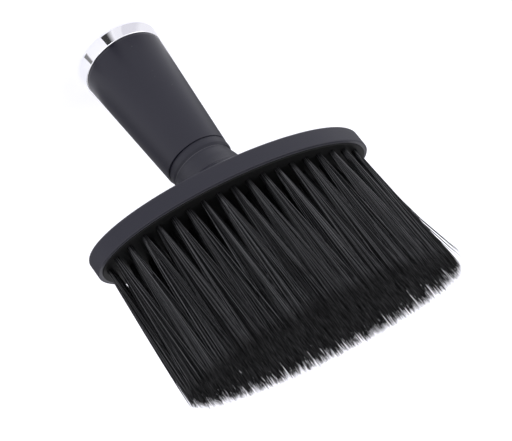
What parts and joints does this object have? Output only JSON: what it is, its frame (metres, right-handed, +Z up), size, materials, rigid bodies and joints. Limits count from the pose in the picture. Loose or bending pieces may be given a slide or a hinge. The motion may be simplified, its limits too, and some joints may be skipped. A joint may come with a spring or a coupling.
{
  "type": "body brush",
  "caption": "Wide oval brush with soft black bristles on a short tapered handle that ends in a chromed ring it can stand on.",
  "frame": {"origin": "centre of the flat chromed end of the handle, which the brush stands on", "axes": "+Z up the handle towards the bristle tips; +X along the long axis of the oval head; +Y across the head"},
  "size_m": [0.115, 0.0464, 0.1504],
  "materials": {
    "soft_touch_grip": "satin",
    "moulded_shell": "satin",
    "inner_plastic": "matte",
    "chrome": "polished",
    "zinc_steel": "satin",
    "brass": "satin",
    "bristles": "satin"
  },
  "bodies": {
    "head": {"chrome_ring": "chrome", "end_plug": "inner_plastic", "handle_core": "inner_plastic", "handle_sleeve": "soft_touch_grip", "neck_collar": "moulded_shell", "head_cover": "moulded_shell", "tuft_block": "inner_plastic", "clamp_screw": "zinc_steel", "screw_washer": "zinc_steel", "threaded_insert": "brass"},
    "bristles": {"outer_tuft_01": "bristles", "outer_tuft_02": "bristles", "outer_tuft_03": "bristles", "outer_tuft_04": "bristles", "outer_tuft_05": "bristles", "outer_tuft_06": "bristles", "outer_tuft_07": "bristles", "outer_tuft_08": "bristles", "outer_tuft_09": "bristles", "outer_tuft_10": "bristles", "outer_tuft_11": "bristles", "outer_tuft_12": "bristles", "outer_tuft_13": "bristles", "outer_tuft_14": "bristles", "outer_tuft_15": "bristles", "outer_tuft_16": "bristles", "outer_tuft_17": "bristles", "outer_tuft_18": "bristles", "outer_tuft_19": "bristles", "outer_tuft_20": "bristles", "outer_tuft_21": "bristles", "outer_tuft_22": "bristles", "outer_tuft_23": "bristles", "outer_tuft_24": "bristles", "outer_tuft_25": "bristles", "outer_tuft_26": "bristles", "outer_tuft_27": "bristles", "outer_tuft_28": "bristles", "outer_tuft_29": "bristles", "outer_tuft_30": "bristles", "outer_tuft_31": "bristles", "outer_tuft_32": "bristles", "outer_tuft_33": "bristles", "outer_tuft_34": "bristles", "outer_tuft_35": "bristles", "outer_tuft_36": "bristles", "outer_tuft_37": "bristles", "outer_tuft_38": "bristles", "inner_tufts_01": "bristles", "inner_tufts_02": "bristles", "inner_tufts_03": "bristles", "inner_tufts_04": "bristles", "inner_tufts_05": "bristles", "inner_tufts_06": "bristles", "inner_tufts_07": "bristles", "inner_tufts_08": "bristles", "inner_tufts_09": "bristles", "inner_tufts_10": "bristles", "inner_tufts_11": "bristles", "inner_tufts_12": "bristles"}
  },
  "joints": [
    {"name": "bristle_sweep", "type": "hinge", "parent": "head", "child": "bristles", "pos_m": [0, 0, 0.0972], "axis": [1, 0, 0], "range_deg": [-18, 18], "stiffness_Nm_per_rad": 0.6, "deforming": ["outer_tuft_01", "outer_tuft_02", "outer_tuft_03", "outer_tuft_04", "outer_tuft_05", "outer_tuft_06", "outer_tuft_07", "outer_tuft_08", "outer_tuft_09", "outer_tuft_10", "outer_tuft_11", "outer_tuft_12", "outer_tuft_13", "outer_tuft_14", "outer_tuft_15", "outer_tuft_16", "outer_tuft_17", "outer_tuft_18", "outer_tuft_19", "outer_tuft_20", "outer_tuft_21", "outer_tuft_22", "outer_tuft_23", "outer_tuft_24", "outer_tuft_25", "outer_tuft_26", "outer_tuft_27", "outer_tuft_28", "outer_tuft_29", "outer_tuft_30", "outer_tuft_31", "outer_tuft_32", "outer_tuft_33", "outer_tuft_34", "outer_tuft_35", "outer_tuft_36", "outer_tuft_37", "outer_tuft_38", "inner_tufts_01", "inner_tufts_02", "inner_tufts_03", "inner_tufts_04", "inner_tufts_05", "inner_tufts_06", "inner_tufts_07", "inner_tufts_08", "inner_tufts_09", "inner_tufts_10", "inner_tufts_11", "inner_tufts_12"]}
  ]
}
